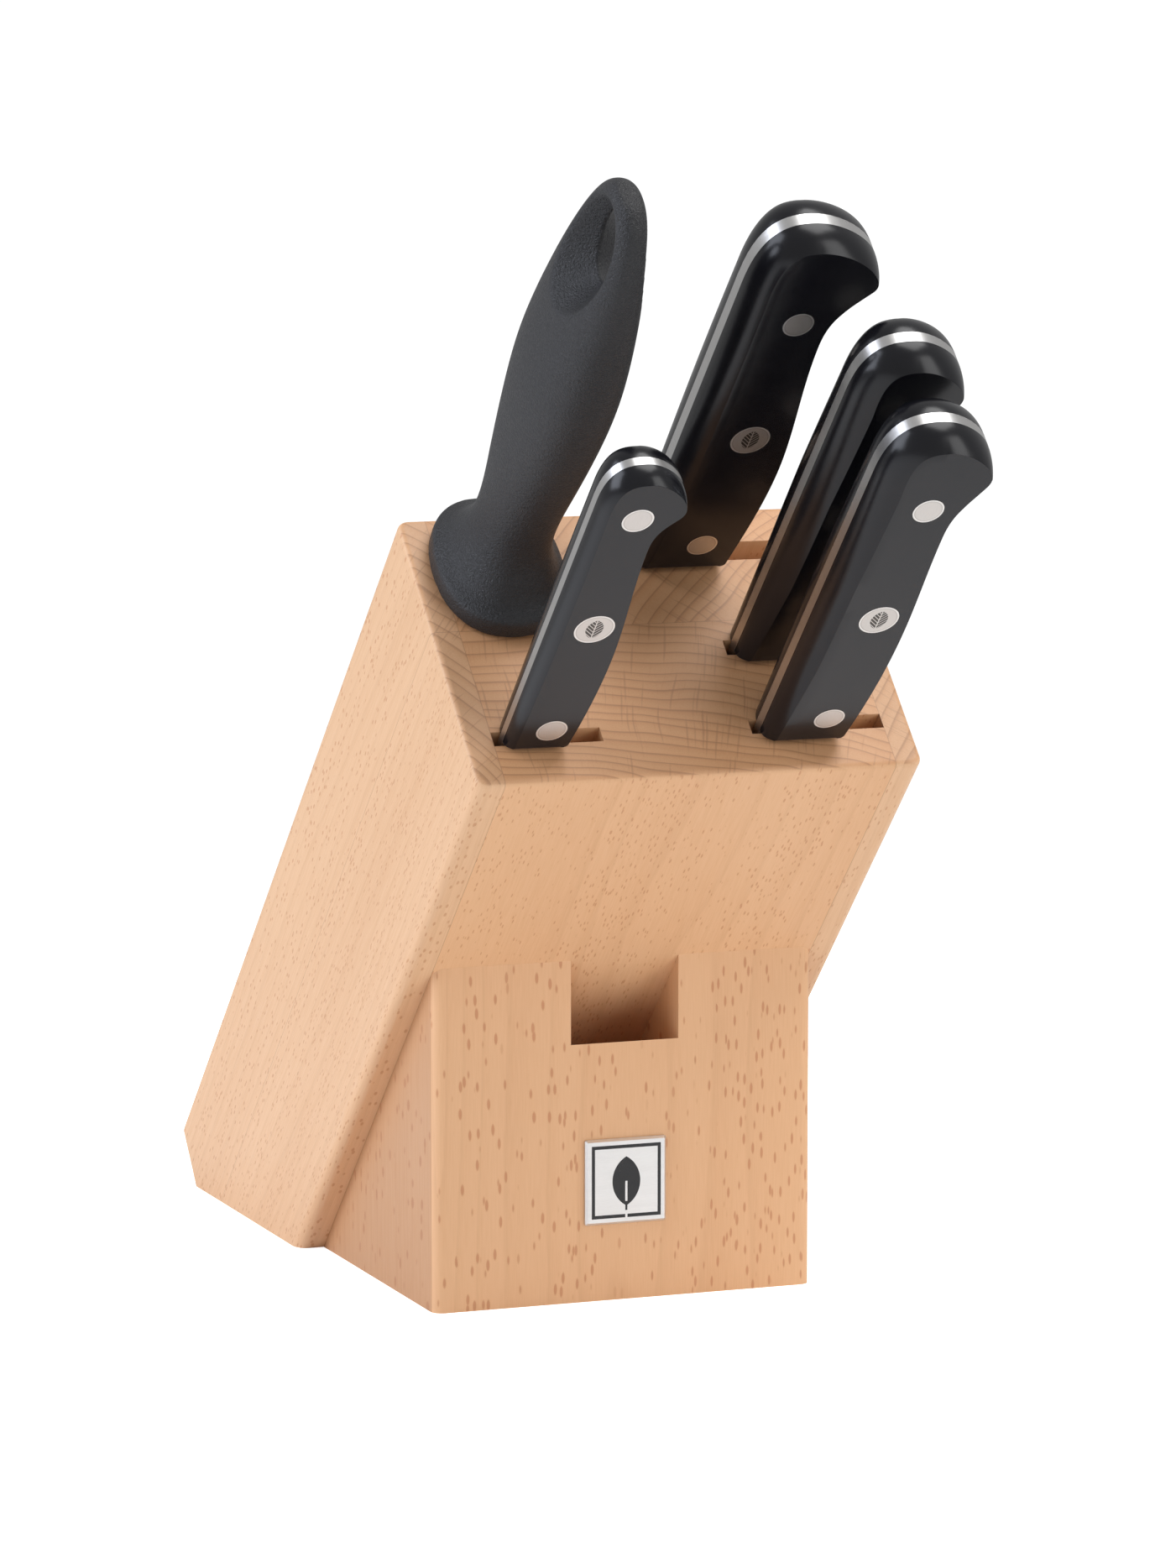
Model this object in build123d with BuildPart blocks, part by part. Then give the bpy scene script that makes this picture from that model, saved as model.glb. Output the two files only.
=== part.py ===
from build123d import *
from dataclasses import dataclass
from math import cos, radians, sin, tan
import os

# A leaning beech knife block on a wedge stand, with four full-tang knives and a
# sharpening steel. Millimetres, +Z up, the block leans towards -Y. The origin is
# on the floor, in the middle of the stand's foot ahead of the shears pocket.

# ---- the block -----------------------------------------------------------------
LEAN = 45.0  # degrees forward from upright
BLOCK_WIDTH = 120.0
BLOCK_DEPTH = 85.5  # front face to back face, square to both
FRONT_EDGE = 204.5  # the front face's length along the lean
CHEEK = 7.5  # each side panel's thickness
FRONT_BOARD = 48.6  # thickness of the core's front board
CORE_WIDTH = BLOCK_WIDTH - 2 * CHEEK
LONG_EDGE_ROUND = 3.0
TOP_EDGE_ROUND = 1.6
HEEL_RISE = 15.9  # height where the heel cut leaves the back face
HEEL_RUN = 29.2  # how far the heel cut moves the foot forward

# ---- the stand -----------------------------------------------------------------
STAND_HEIGHT = 90.0
STAND_EDGE_ROUND = 3.0
POCKET_WIDTH = 29.8  # shears pocket between stand and block
POCKET_DROP = 22.0  # height of its mouth in the stand's front
DOWEL_DIAMETER = 6.0
DOWEL_LENGTH = 24.0
DOWEL_IN_CORE = 9.0
DOWEL_SPREAD = 72.0
DOWEL_HEIGHT = 42.0  # height of the dowels where they cross the joint

# ---- the badge -----------------------------------------------------------------
BADGE_SIDE = 22.5
BADGE_THICKNESS = 1.2
BADGE_BEVEL = 0.6
BADGE_HEIGHT = 31.5  # its centre above the floor
ENAMEL_DEPTH = 0.3
FRAME_SIDE = 19.2
FRAME_LINE = 0.9
LEAF_LENGTH = 13.0
LEAF_WIDTH = 7.6
LEAF_LOW = 0.08  # how far below its middle the leaf is widest, as a share of its length
LEAF_RIB = 0.6
LEAF_STALK = 2.4

# ---- slots, all open to a side panel at one end ----------------------------------
ROW_MARGIN = 14.2  # front and back row's centre to the face nearest to it
FRONT_ROW = ROW_MARGIN  # each row's centre behind the front face
MIDDLE_ROW = 39.8
BACK_ROW = BLOCK_DEPTH - ROW_MARGIN
FRONT_SLOT_ROOM = 0.7  # room on each side of a blade
MIDDLE_SLOT_ROOM = 0.9
BACK_SLOT_ROOM = 1.4
SPINE_GAP = 2.0  # slot end to a knife's spine
PARING_EDGE_GAP = 9.2  # slot end to the paring knife's edge

# ---- the sharpening steel ------------------------------------------------------
STEEL_FROM_LEFT = 21.5  # its axis in from the block's left face
STEEL_FROM_BACK = 19.5  # and in from the back face
ROD_DIAMETER = 10.0
ROD_LENGTH = 230.0
ROD_IN_HANDLE = 38.0
ROD_BORE_GAP = 1.6  # radial room in the block
ROD_END_ROOM = 8.0
ROD_POINT = 3.5  # chamfer on the rod's end
FLANGE_HALF_X = 17.0
FLANGE_HALF_ROW = 21.0
FLANGE_RIM = 5.5
GRIP = (  # height above the flange's foot, half width in X, half width across
    (FLANGE_RIM, 15.8, 19.4),
    (10.0, 13.0, 15.8),
    (16.0, 10.8, 12.6),
    (28.0, 9.8, 12.0),
    (40.0, 10.4, 14.0),
    (60.0, 11.5, 17.4),
    (80.0, 12.0, 19.0),
    (100.0, 10.6, 18.2),
    (120.0, 7.8, 15.8),
    (131.0, 5.8, 12.8),
    (138.5, 4.2, 8.2),
    (141.3, 2.4, 4.0),
)
GRIP_LEAN = 0.015  # how far the grip leans to the left for each unit of height
EYE_HEIGHT = 123.5
EYE_LONG = 26.0
EYE_WIDE = 19.0

# ---- shared by the knives --------------------------------------------------------
HANDLE_GAP = 0.5  # handles stand this far off the block's top
END_RIVET = 8.0
CENTRE_RIVET = 10.3
HANDLE_EDGE_ROUND = 2.4
FRONT_CORNER = 2.6
HOOK_ROUND = 1.8
SHOULDER_FULLNESS = 0.7  # how square the butt is towards the spine, out of 1
BUTT_FULLNESS = 0.44  # and towards the hook
HOOK_RUN = 0.38  # shares of the hook's underside that stay straight at its two ends
NECK_RUN = 0.5
HEEL_CORNER = 2.0  # height of the heel's rounding
EDGE_TAPER = 0.96  # a blade's width where its belly begins, as a share of the heel's
EDGE_BEND = 0.6  # where that is, as a share of the blade's length
SPINE_BEND = 0.66  # where the spine starts to drop to the tip
GRIND_START = 0.3  # share of a blade's width where its grind begins
GRIND_BEYOND = 4.0  # how far the cut for the grind passes the edge
EDGE_THICKNESS = 0.5
SCALLOP_START = 6.0  # plain edge between the bread knife's heel and its scallops
SCALLOP_END = 0.72  # where they stop, as a share of the blade's length
SCALLOP_RADIUS = 0.72  # in pitches


@dataclass
class Knife:
    """One knife: u runs from the spine towards the edge, w along the handle."""

    name: str
    row: float  # depth of its slot behind the block's front face
    panel_gap: float  # its spine to the left panel, or its edge to the right one
    tang: float  # steel thickness
    length: float  # handle length
    reach: float  # spine to the tip of the hook
    peak: float  # how far from the spine the butt is highest
    shoulder_drop: float  # from there down to where the spine turns straight
    tip_drop: float  # and down to the hook's tip
    hook_slope: float  # degrees the hook's underside falls towards the neck
    neck: float  # width under the hook
    neck_height: float
    belly: float  # widest grip
    belly_height: float
    front: float  # width at the blade end
    scale_front: float  # scale thickness at the blade end, the middle and the butt
    scale_middle: float
    scale_butt: float
    rivet_u: float
    rivets: tuple
    blade_length: float
    blade_width: float
    blade_neck: float  # length between the scales and the heel
    tip_u: float
    serrations: int = 0
    at_left: bool = False

    @property
    def spine_x(self):
        edge = CORE_WIDTH / 2
        if self.at_left:
            return self.panel_gap - edge
        return edge - self.panel_gap - self.blade_width

    @property
    def half_thickness(self):
        return self.tang / 2 + self.scale_middle


def long_handle(name, row, panel_gap, **blade):
    """The two right-hand knives share one handle."""
    return Knife(
        name=name, row=row, panel_gap=panel_gap, tang=3.0,
        length=118.0, reach=28.7, peak=12.6, shoulder_drop=17.5, tip_drop=13.4,
        hook_slope=60.0, neck=21.6, neck_height=84.0, belly=23.0, belly_height=50.0,
        front=21.4, scale_front=5.0, scale_middle=8.0, scale_butt=7.2,
        rivet_u=14.0, rivets=(11.0, 52.6, 94.2), **blade,
    )


PARING = Knife(
    name="paring", row=FRONT_ROW, panel_gap=2.3, at_left=True, tang=2.3,
    length=105.3, reach=21.9, peak=9.3, shoulder_drop=13.0, tip_drop=11.9,
    hook_slope=48.0, neck=15.8, neck_height=79.0, belly=18.0, belly_height=42.0,
    front=16.3, scale_front=4.0, scale_middle=5.3, scale_butt=5.1,
    rivet_u=9.5, rivets=(9.0, 49.9, 90.8),
    blade_length=100.0, blade_width=17.5, blade_neck=11.0, tip_u=8.0,
)
CARVING = long_handle(
    "carving", FRONT_ROW, 6.0,
    blade_length=185.0, blade_width=28.0, blade_neck=13.0, tip_u=9.0,
)
BREAD = long_handle(
    "bread", MIDDLE_ROW, 4.6,
    blade_length=200.0, blade_width=29.0, blade_neck=13.0, tip_u=8.0, serrations=30,
)
CHEF = Knife(
    name="chef", row=BACK_ROW, panel_gap=10.1, tang=3.2,
    length=126.0, reach=33.3, peak=13.2, shoulder_drop=21.0, tip_drop=15.0,
    hook_slope=46.0, neck=23.2, neck_height=90.0, belly=26.8, belly_height=44.0,
    front=24.4, scale_front=5.0, scale_middle=8.0, scale_butt=7.2,
    rivet_u=14.7, rivets=(11.4, 54.7, 98.0),
    blade_length=205.0, blade_width=43.0, blade_neck=14.0, tip_u=13.0,
)
KNIVES = (PARING, CARVING, BREAD, CHEF)

# ---- worked out from the sizes above ------------------------------------------
STEEL_X = STEEL_FROM_LEFT - BLOCK_WIDTH / 2
STEEL_ROW = BLOCK_DEPTH - STEEL_FROM_BACK
LEAN_SIN = sin(radians(LEAN))
LEAN_COS = cos(radians(LEAN))
LEAN_TAN = tan(radians(LEAN))
AXIS = Vector(0, -LEAN_SIN, LEAN_COS)  # up the block, the way the knives pull out
DEPTH = Vector(0, LEAN_COS, LEAN_SIN)  # from the block's front face to its back
POCKET_DEPTH = POCKET_DROP * LEAN_SIN
STAND_FRONT = -(STAND_HEIGHT - POCKET_DROP) * LEAN_TAN / 2
STAND_BACK = STAND_FRONT + STAND_HEIGHT * LEAN_TAN
TOP_HEIGHT = FRONT_EDGE * LEAN_COS
TOP_FRONT = STAND_FRONT + (STAND_HEIGHT - TOP_HEIGHT) * LEAN_TAN
BACK_FOOT = STAND_BACK + BLOCK_DEPTH / LEAN_COS
BLOCK_REACH = FRONT_EDGE + (BLOCK_DEPTH + BLOCK_WIDTH) * max(1.0, LEAN_TAN)

TOP = Plane(origin=(0, TOP_FRONT, TOP_HEIGHT), x_dir=(1, 0, 0), z_dir=AXIS)
SLOPE = Plane(origin=(0, STAND_BACK, 0), x_dir=(1, 0, 0), z_dir=-DEPTH)
FRONT_PLANE = Plane(origin=(0, STAND_FRONT, 0), x_dir=(1, 0, 0), z_dir=(0, -1, 0))


def top_point(x, row, height=0.0):
    """A point given across the block, back from its front face and above its top."""
    return TOP.origin + Vector(x, 0, 0) + DEPTH * row + AXIS * height


def save(part, label):
    part.label = label
    export_step(part, f"parts/{label}.step")
    print(f"{label}: {part.volume / 1000:.1f} cm3")


# ---- block ---------------------------------------------------------------------
def block_blank():
    """The whole block as one outer shape, before it is cut into its boards."""
    heel_low = Vector(0, BACK_FOOT - HEEL_RUN, 0)
    heel_high = Vector(0, BACK_FOOT - HEEL_RISE * LEAN_TAN, HEEL_RISE)
    heel_up = (heel_high - heel_low).normalized()
    heel = Plane(origin=heel_low, x_dir=(1, 0, 0), z_dir=Vector(1, 0, 0).cross(heel_up))
    with BuildPart() as blank:
        with BuildSketch(TOP):
            with Locations((0, BLOCK_DEPTH / 2)):
                RectangleRounded(BLOCK_WIDTH, BLOCK_DEPTH, LONG_EDGE_ROUND)
        extrude(amount=-BLOCK_REACH)
        split(bisect_by=Plane.XY, keep=Keep.TOP)
        split(bisect_by=heel, keep=Keep.TOP)
        top_face = blank.faces().sort_by(Axis(TOP.origin, AXIS))[-1]
        fillet(top_face.edges(), radius=TOP_EDGE_ROUND)
    return blank.part


def side_panel(blank, side):
    """The left panel has side -1, the right one +1."""
    inner = Plane(origin=(side * CORE_WIDTH / 2, 0, 0), z_dir=(side, 0, 0))
    with BuildPart() as panel:
        add(blank)
        split(bisect_by=inner, keep=Keep.TOP)
    return panel.part


def kerf(x_from, x_to, row, width):
    """A saw slot right through the block's length, from one X to another."""
    with BuildSketch(TOP) as mouth:
        with Locations(((x_from + x_to) / 2, row)):
            Rectangle(x_to - x_from, width)
    extrude(mouth.sketch, amount=-BLOCK_REACH, mode=Mode.SUBTRACT)


def kerfs():
    """One slot for each knife, as wide as its blade's steel and the room beside it."""
    edge = CORE_WIDTH / 2
    front_slot = max(PARING.tang, CARVING.tang) + 2 * FRONT_SLOT_ROOM
    paring_end = PARING.spine_x + PARING.blade_width + PARING_EDGE_GAP
    kerf(-edge, paring_end, FRONT_ROW, front_slot)
    kerf(CARVING.spine_x - SPINE_GAP, edge, FRONT_ROW, front_slot)
    kerf(BREAD.spine_x - SPINE_GAP, edge, MIDDLE_ROW, BREAD.tang + 2 * MIDDLE_SLOT_ROOM)
    kerf(CHEF.spine_x - SPINE_GAP, edge, BACK_ROW, CHEF.tang + 2 * BACK_SLOT_ROOM)


def core(blank):
    """The middle of the block with its slots, bore and dowel holes."""
    bore_depth = ROD_LENGTH + ROD_END_ROOM
    with BuildPart() as middle:
        add(blank)
        for side in (-1, 1):
            inner = Plane(origin=(side * CORE_WIDTH / 2, 0, 0), z_dir=(-side, 0, 0))
            split(bisect_by=inner, keep=Keep.TOP)
        kerfs()
        with BuildSketch(TOP):
            with Locations((STEEL_X, STEEL_ROW)):
                Circle(ROD_DIAMETER / 2 + ROD_BORE_GAP)
        extrude(amount=-bore_depth, mode=Mode.SUBTRACT)
        dowel_pins(DOWEL_IN_CORE, -DOWEL_IN_CORE, Mode.SUBTRACT)
    return middle.part


def core_board(whole_core, keep):
    """One of the two boards that are glued behind one another to make the core."""
    joint = Plane(origin=top_point(0, FRONT_BOARD), z_dir=DEPTH)
    with BuildPart() as board:
        add(whole_core)
        split(bisect_by=joint, keep=keep)
    return board.part


# ---- stand ---------------------------------------------------------------------
def dowel_pins(length, start, mode=Mode.ADD):
    """Two pins square to the joint of stand and block; start is measured from it."""
    on_joint = Vector(0, STAND_BACK - DOWEL_HEIGHT * LEAN_TAN, DOWEL_HEIGHT)
    foot = Plane(origin=on_joint - DEPTH * start, x_dir=(1, 0, 0), z_dir=-DEPTH)
    with Locations(foot):
        with Locations((-DOWEL_SPREAD / 2, 0), (DOWEL_SPREAD / 2, 0)):
            Cylinder(
                DOWEL_DIAMETER / 2, length, mode=mode,
                align=(Align.CENTER, Align.CENTER, Align.MIN),
            )


def dowels():
    with BuildPart() as pins:
        dowel_pins(DOWEL_LENGTH, -DOWEL_IN_CORE)
    return pins.part


def stand():
    foot = STAND_BACK - STAND_FRONT
    with BuildPart() as wedge:
        with BuildSketch(Plane.XY):
            with Locations((0, (STAND_FRONT + STAND_BACK) / 2)):
                Rectangle(CORE_WIDTH, foot)
            fillet(vertices().group_by(Axis.Y)[0], radius=STAND_EDGE_ROUND)
        extrude(amount=STAND_HEIGHT)
        split(bisect_by=SLOPE, keep=Keep.TOP)
        with BuildSketch(SLOPE):
            Rectangle(POCKET_WIDTH, 4 * STAND_HEIGHT)
        extrude(amount=POCKET_DEPTH, mode=Mode.SUBTRACT)
        dowel_pins(DOWEL_LENGTH - DOWEL_IN_CORE, 0, Mode.SUBTRACT)
    return wedge.part


# ---- badge ---------------------------------------------------------------------
def badge_face():
    origin = (0, STAND_FRONT - BADGE_THICKNESS, BADGE_HEIGHT)
    return Plane(origin=origin, x_dir=(1, 0, 0), z_dir=(0, -1, 0))


def badge_art():
    """A square line with one upright leaf in it, its rib left open."""
    half = LEAF_LENGTH / 2
    widest = -LEAF_LOW * LEAF_LENGTH
    inner = FRAME_SIDE - 2 * FRAME_LINE
    with BuildSketch(badge_face()) as art:
        Rectangle(FRAME_SIDE, FRAME_SIDE)
        Rectangle(inner, inner, mode=Mode.SUBTRACT)
        with BuildLine():
            ThreePointArc((0, -half), (LEAF_WIDTH / 2, widest), (0, half))
            ThreePointArc((0, half), (-LEAF_WIDTH / 2, widest), (0, -half))
        make_face()
        with Locations((0, -half)):
            Rectangle(LEAF_RIB, LEAF_LENGTH, mode=Mode.SUBTRACT)
            Rectangle(LEAF_RIB, LEAF_STALK)
    return art.sketch


def badge_plate():
    with BuildPart() as plate:
        with BuildSketch(badge_face()):
            RectangleRounded(BADGE_SIDE, BADGE_SIDE, BADGE_BEVEL)
        extrude(amount=-BADGE_THICKNESS)
        front = plate.faces().sort_by(Axis.Y)[0]
        chamfer(front.edges(), length=BADGE_BEVEL)
        extrude(badge_art(), amount=-ENAMEL_DEPTH, mode=Mode.SUBTRACT)
    return plate.part


def badge_enamel():
    with BuildPart() as enamel:
        extrude(badge_art(), amount=-ENAMEL_DEPTH)
    return enamel.part


# ---- knives --------------------------------------------------------------------
# A knife is modelled lying flat: X from its spine to its edge, Y up the handle from its
# blade end, Z towards the viewer. It is put into the block when it is saved.
def in_block(knife):
    origin = top_point(knife.spine_x, knife.row, HANDLE_GAP)
    return Plane(origin=origin, x_dir=(1, 0, 0), z_dir=-DEPTH).location


def handle_outline(knife):
    """Straight spine, rounded butt, hook, neck, belly and a cut front corner."""
    top = knife.length
    reach = knife.reach
    shoulder = top - knife.shoulder_drop
    tip = top - knife.tip_drop
    square_spine = SHOULDER_FULLNESS * knife.shoulder_drop
    slope = radians(knife.hook_slope)
    inwards = Vector(-cos(slope), -sin(slope))
    corner = Vector(reach, tip - HOOK_ROUND)
    under_tip = corner + inwards * HOOK_ROUND
    neck = Vector(knife.neck, knife.neck_height)
    underside = (under_tip - neck).length
    with BuildSketch() as outline:
        with BuildLine():
            Line((0, 0), (0, shoulder))
            Bezier(
                (0, shoulder), (0, shoulder + square_spine),
                ((1 - SHOULDER_FULLNESS) * knife.peak, top), (knife.peak, top),
            )
            Bezier(
                (knife.peak, top),
                (knife.peak + BUTT_FULLNESS * (reach - knife.peak), top),
                (reach, tip + BUTT_FULLNESS * knife.tip_drop), (reach, tip),
            )
            Bezier((reach, tip), corner, under_tip)
            Bezier(
                under_tip, under_tip + inwards * HOOK_RUN * underside,
                neck + Vector(0, NECK_RUN * underside), neck,
            )
            Spline(
                neck, (knife.belly, knife.belly_height), (knife.front, FRONT_CORNER),
                tangents=[(0, -1), (-0.1, -1)],
            )
            Polyline(
                (knife.front, FRONT_CORNER), (knife.front - FRONT_CORNER, 0), (0, 0),
            )
        make_face()
    return outline.sketch


def handle_blank(knife):
    """Both scales and the tang as one shape, thickest in the middle of the grip."""
    half_tang = knife.tang / 2
    front = half_tang + knife.scale_front
    middle = half_tang + knife.scale_middle
    butt = half_tang + knife.scale_butt
    side_view = Plane(origin=(0, 0, 0), x_dir=(0, 0, 1), z_dir=(-1, 0, 0))
    with BuildPart() as blank:
        extrude(handle_outline(knife), amount=2 * middle, both=True)
        with BuildSketch(side_view):
            with BuildLine() as flank:
                Line((0, 0), (front - FRONT_CORNER, 0))
                Line((front - FRONT_CORNER, 0), (front, FRONT_CORNER))
                Spline(
                    (front, FRONT_CORNER), (middle, 0.5 * knife.length),
                    (butt, knife.length),
                )
                Line((butt, knife.length), (0, knife.length))
                mirror(about=Plane.YZ)
            make_face()
        extrude(amount=2 * knife.reach, both=True, mode=Mode.INTERSECT)
        for end in (0, -1):
            flat = blank.faces().sort_by(Axis.Z)[end]
            butt = flat.edges().sort_by(Axis.Y)[-2:]
            spine = flat.edges().sort_by(Axis.X)[0]
            fillet(butt + [spine], radius=HANDLE_EDGE_ROUND)
    return blank.part


def rivet_circles(knife, which):
    with BuildSketch() as circles:
        for index in which:
            diameter = CENTRE_RIVET if index == 1 else END_RIVET
            with Locations((knife.rivet_u, knife.rivets[index])):
                Circle(diameter / 2)
    return circles.sketch


def rivet_holes(knife):
    circles = rivet_circles(knife, (0, 1, 2))
    extrude(circles, amount=2 * knife.half_thickness, both=True, mode=Mode.SUBTRACT)


def scale(knife, blank, side):
    """The scale towards the viewer has side +1, the one behind the tang -1."""
    face = Plane.XY.offset(side * knife.tang / 2)
    with BuildPart() as half:
        add(blank)
        split(bisect_by=face, keep=Keep.TOP if side > 0 else Keep.BOTTOM)
        rivet_holes(knife)
    return half.part


def rivets(knife, blank, which):
    circles = rivet_circles(knife, which)
    with BuildPart() as pins:
        extrude(circles, amount=2 * knife.half_thickness, both=True)
        add(blank, mode=Mode.INTERSECT)
    return pins.part


def blade_outline(knife):
    """From the scales down: neck, heel, edge, tip and the straight spine."""
    neck_width = knife.front - FRONT_CORNER
    heel = -knife.blade_neck
    tip = -knife.blade_length
    heel_corner = (knife.blade_width, heel - HEEL_CORNER)
    spine_bend = (0, tip * SPINE_BEND)
    with BuildSketch() as outline:
        with BuildLine():
            Polyline(
                (0, FRONT_CORNER), (neck_width, FRONT_CORNER), (neck_width, heel / 2),
            )
            Spline((neck_width, heel / 2), heel_corner, tangents=[(0, -1), (0, -1)])
            Spline(
                heel_corner, (knife.blade_width * EDGE_TAPER, tip * EDGE_BEND),
                (knife.tip_u, tip), tangents=[(0, -1), (-1, -0.5)],
            )
            Spline((knife.tip_u, tip), spine_bend, tangents=[(-0.35, 1), (0, 1)])
            Line(spine_bend, (0, FRONT_CORNER))
        make_face()
        serrate(knife)
    return outline.sketch


def serrate(knife):
    """Shallow scallops along the bread knife's edge, in the open sketch."""
    first = knife.blade_neck + SCALLOP_START
    pitch = (SCALLOP_END * knife.blade_length - first) / max(knife.serrations, 1)
    for step in range(knife.serrations):
        with Locations((knife.blade_width + pitch / 2, -first - step * pitch)):
            Circle(SCALLOP_RADIUS * pitch, mode=Mode.SUBTRACT)


def blade(knife):
    half_tang = knife.tang / 2
    grind_u = GRIND_START * knife.blade_width
    beyond = knife.blade_width + GRIND_BEYOND
    with BuildPart() as steel:
        extrude(handle_outline(knife), amount=half_tang, both=True)
        extrude(blade_outline(knife), amount=half_tang, both=True)
        heel = (0, -knife.blade_neck, 0)
        with BuildSketch(Plane(origin=heel, x_dir=(1, 0, 0), z_dir=(0, 1, 0))):
            for side in (-1, 1):
                with BuildLine():
                    Polyline(
                        (grind_u, side * half_tang),
                        (beyond, side * EDGE_THICKNESS / 2),
                        (beyond, side * knife.tang),
                        (grind_u, side * knife.tang),
                        close=True,
                    )
                make_face()
        extrude(amount=-knife.blade_length, mode=Mode.SUBTRACT)
        rivet_holes(knife)
    return steel.part


# ---- sharpening steel ----------------------------------------------------------
def steel_section(height):
    """Square to the rod's axis, centred on it."""
    origin = top_point(STEEL_X, STEEL_ROW, HANDLE_GAP + height)
    return Plane(origin=origin, x_dir=(1, 0, 0), z_dir=AXIS)


def steel_rod():
    with BuildPart() as rod:
        with BuildSketch(steel_section(ROD_IN_HANDLE)):
            Circle(ROD_DIAMETER / 2)
        extrude(amount=-(ROD_IN_HANDLE + ROD_LENGTH))
        tip = rod.faces().sort_by(Axis(TOP.origin, AXIS))[0]
        chamfer(tip.edges(), length=ROD_POINT)
    return rod.part


def steel_handle():
    """An oval flange, a waisted oval grip and a hanging eye through its end."""
    eye_x = STEEL_X - GRIP_LEAN * EYE_HEIGHT
    eye_origin = top_point(eye_x, STEEL_ROW, HANDLE_GAP + EYE_HEIGHT)
    with BuildPart() as handle:
        with BuildSketch(steel_section(0)):
            Ellipse(FLANGE_HALF_X, FLANGE_HALF_ROW)
        extrude(amount=FLANGE_RIM)
        for height, half_x, half_row in GRIP:
            with BuildSketch(steel_section(height)):
                with Locations((-GRIP_LEAN * height, 0)):
                    Ellipse(half_x, half_row)
        loft()
        with BuildSketch(Plane(origin=eye_origin, x_dir=DEPTH, z_dir=(1, 0, 0))):
            Ellipse(EYE_WIDE / 2, EYE_LONG / 2)
        extrude(amount=2 * FLANGE_HALF_X, both=True, mode=Mode.SUBTRACT)
        with BuildSketch(steel_section(0)):
            Circle(ROD_DIAMETER / 2)
        extrude(amount=ROD_IN_HANDLE, mode=Mode.SUBTRACT)
    return handle.part


# ---- build and write every piece -----------------------------------------------
os.makedirs("parts", exist_ok=True)

whole_block = block_blank()
save(side_panel(whole_block, -1), "side_panel_left")
save(side_panel(whole_block, 1), "side_panel_right")
whole_core = core(whole_block)
save(core_board(whole_core, Keep.BOTTOM), "core_front")
save(core_board(whole_core, Keep.TOP), "core_rear")
save(stand(), "stand_wedge")
save(dowels(), "stand_dowels")
save(badge_plate(), "badge_plate")
save(badge_enamel(), "badge_enamel")

for knife in KNIVES:
    handle = handle_blank(knife)
    pieces = {
        "blade": blade(knife),
        "scale_near": scale(knife, handle, 1),
        "scale_far": scale(knife, handle, -1),
        "end_rivets": rivets(knife, handle, (0, 2)),
        "centre_rivet": rivets(knife, handle, (1,)),
    }
    for name, piece in pieces.items():
        save(in_block(knife) * piece, f"{knife.name}_{name}")

save(steel_rod(), "steel_rod")
save(steel_handle(), "steel_handle")
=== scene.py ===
# %% [markdown]
# # A beech knife block, dressed for its portrait
#
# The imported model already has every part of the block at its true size: five boards, four knives
# and a sharpening steel. This lesson gives those parts their looks. It loads the model as a fixed
# frame, sets the camera and the light, writes one material for each finish, and then rebuilds the
# pieces whose shape needs more than the plain model has, such as the bevelled handle scales.

# %% Load the frame
import math

import bmesh
import bpy
import numpy as np
from mathutils import Matrix, Vector
from mathutils.geometry import delaunay_2d_cdt


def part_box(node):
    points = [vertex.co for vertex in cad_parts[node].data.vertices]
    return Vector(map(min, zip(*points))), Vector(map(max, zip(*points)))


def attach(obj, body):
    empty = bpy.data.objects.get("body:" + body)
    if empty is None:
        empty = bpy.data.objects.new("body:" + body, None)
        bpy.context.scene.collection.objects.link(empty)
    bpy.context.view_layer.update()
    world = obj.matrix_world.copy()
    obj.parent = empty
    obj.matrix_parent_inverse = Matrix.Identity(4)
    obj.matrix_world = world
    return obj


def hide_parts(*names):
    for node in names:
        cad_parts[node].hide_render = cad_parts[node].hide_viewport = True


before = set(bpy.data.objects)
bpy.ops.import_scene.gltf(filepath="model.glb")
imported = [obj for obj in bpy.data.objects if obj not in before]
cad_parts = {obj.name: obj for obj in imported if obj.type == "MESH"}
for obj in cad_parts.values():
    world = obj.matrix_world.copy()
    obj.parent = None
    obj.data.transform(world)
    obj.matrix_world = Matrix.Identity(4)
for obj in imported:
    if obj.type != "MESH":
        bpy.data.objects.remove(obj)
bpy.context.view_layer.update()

MM = 0.001

# %% [markdown]
# The block leans forward by 45 degrees. Three directions describe everything on it: X across,
# DEPTH from its front face to its back, and AXIS up along the knives. `extent` measures how far a
# node reaches along any of them, so that no place has to be typed in twice.

# %% Directions and measures
LEAN = math.radians(45)
ACROSS = Vector((1, 0, 0))
AXIS = Vector((0, -math.sin(LEAN), math.cos(LEAN)))
DEPTH = Vector((0, math.cos(LEAN), math.sin(LEAN)))


def extent(node, direction):
    """How far a CAD node reaches along a direction, lowest and highest, in metres."""
    reaches = [direction.dot(v.co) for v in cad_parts[node].data.vertices]
    return min(reaches), max(reaches)


TOP_LEVEL = extent("core_front", AXIS)[1]
print("top of the block along the axis:", round(TOP_LEVEL / MM, 2), "mm")

# %% [markdown]
# ## Camera
#
# A long lens from well back keeps the block's edges nearly parallel. The camera stands to the
# front left, a little above the table, and looks at the middle of the object. The lens is written
# for the picture's long side, which is how Blender reads a sensor set to Auto.

# %% Camera
VIEW_AZIMUTH, VIEW_ELEVATION = math.radians(-20.79), math.radians(7.73)
VIEW_DISTANCE = 1.6365
LENS = 146.2
AIM = Vector((-0.0102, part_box("stand_wedge")[0].y, 0.1358))

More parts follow.
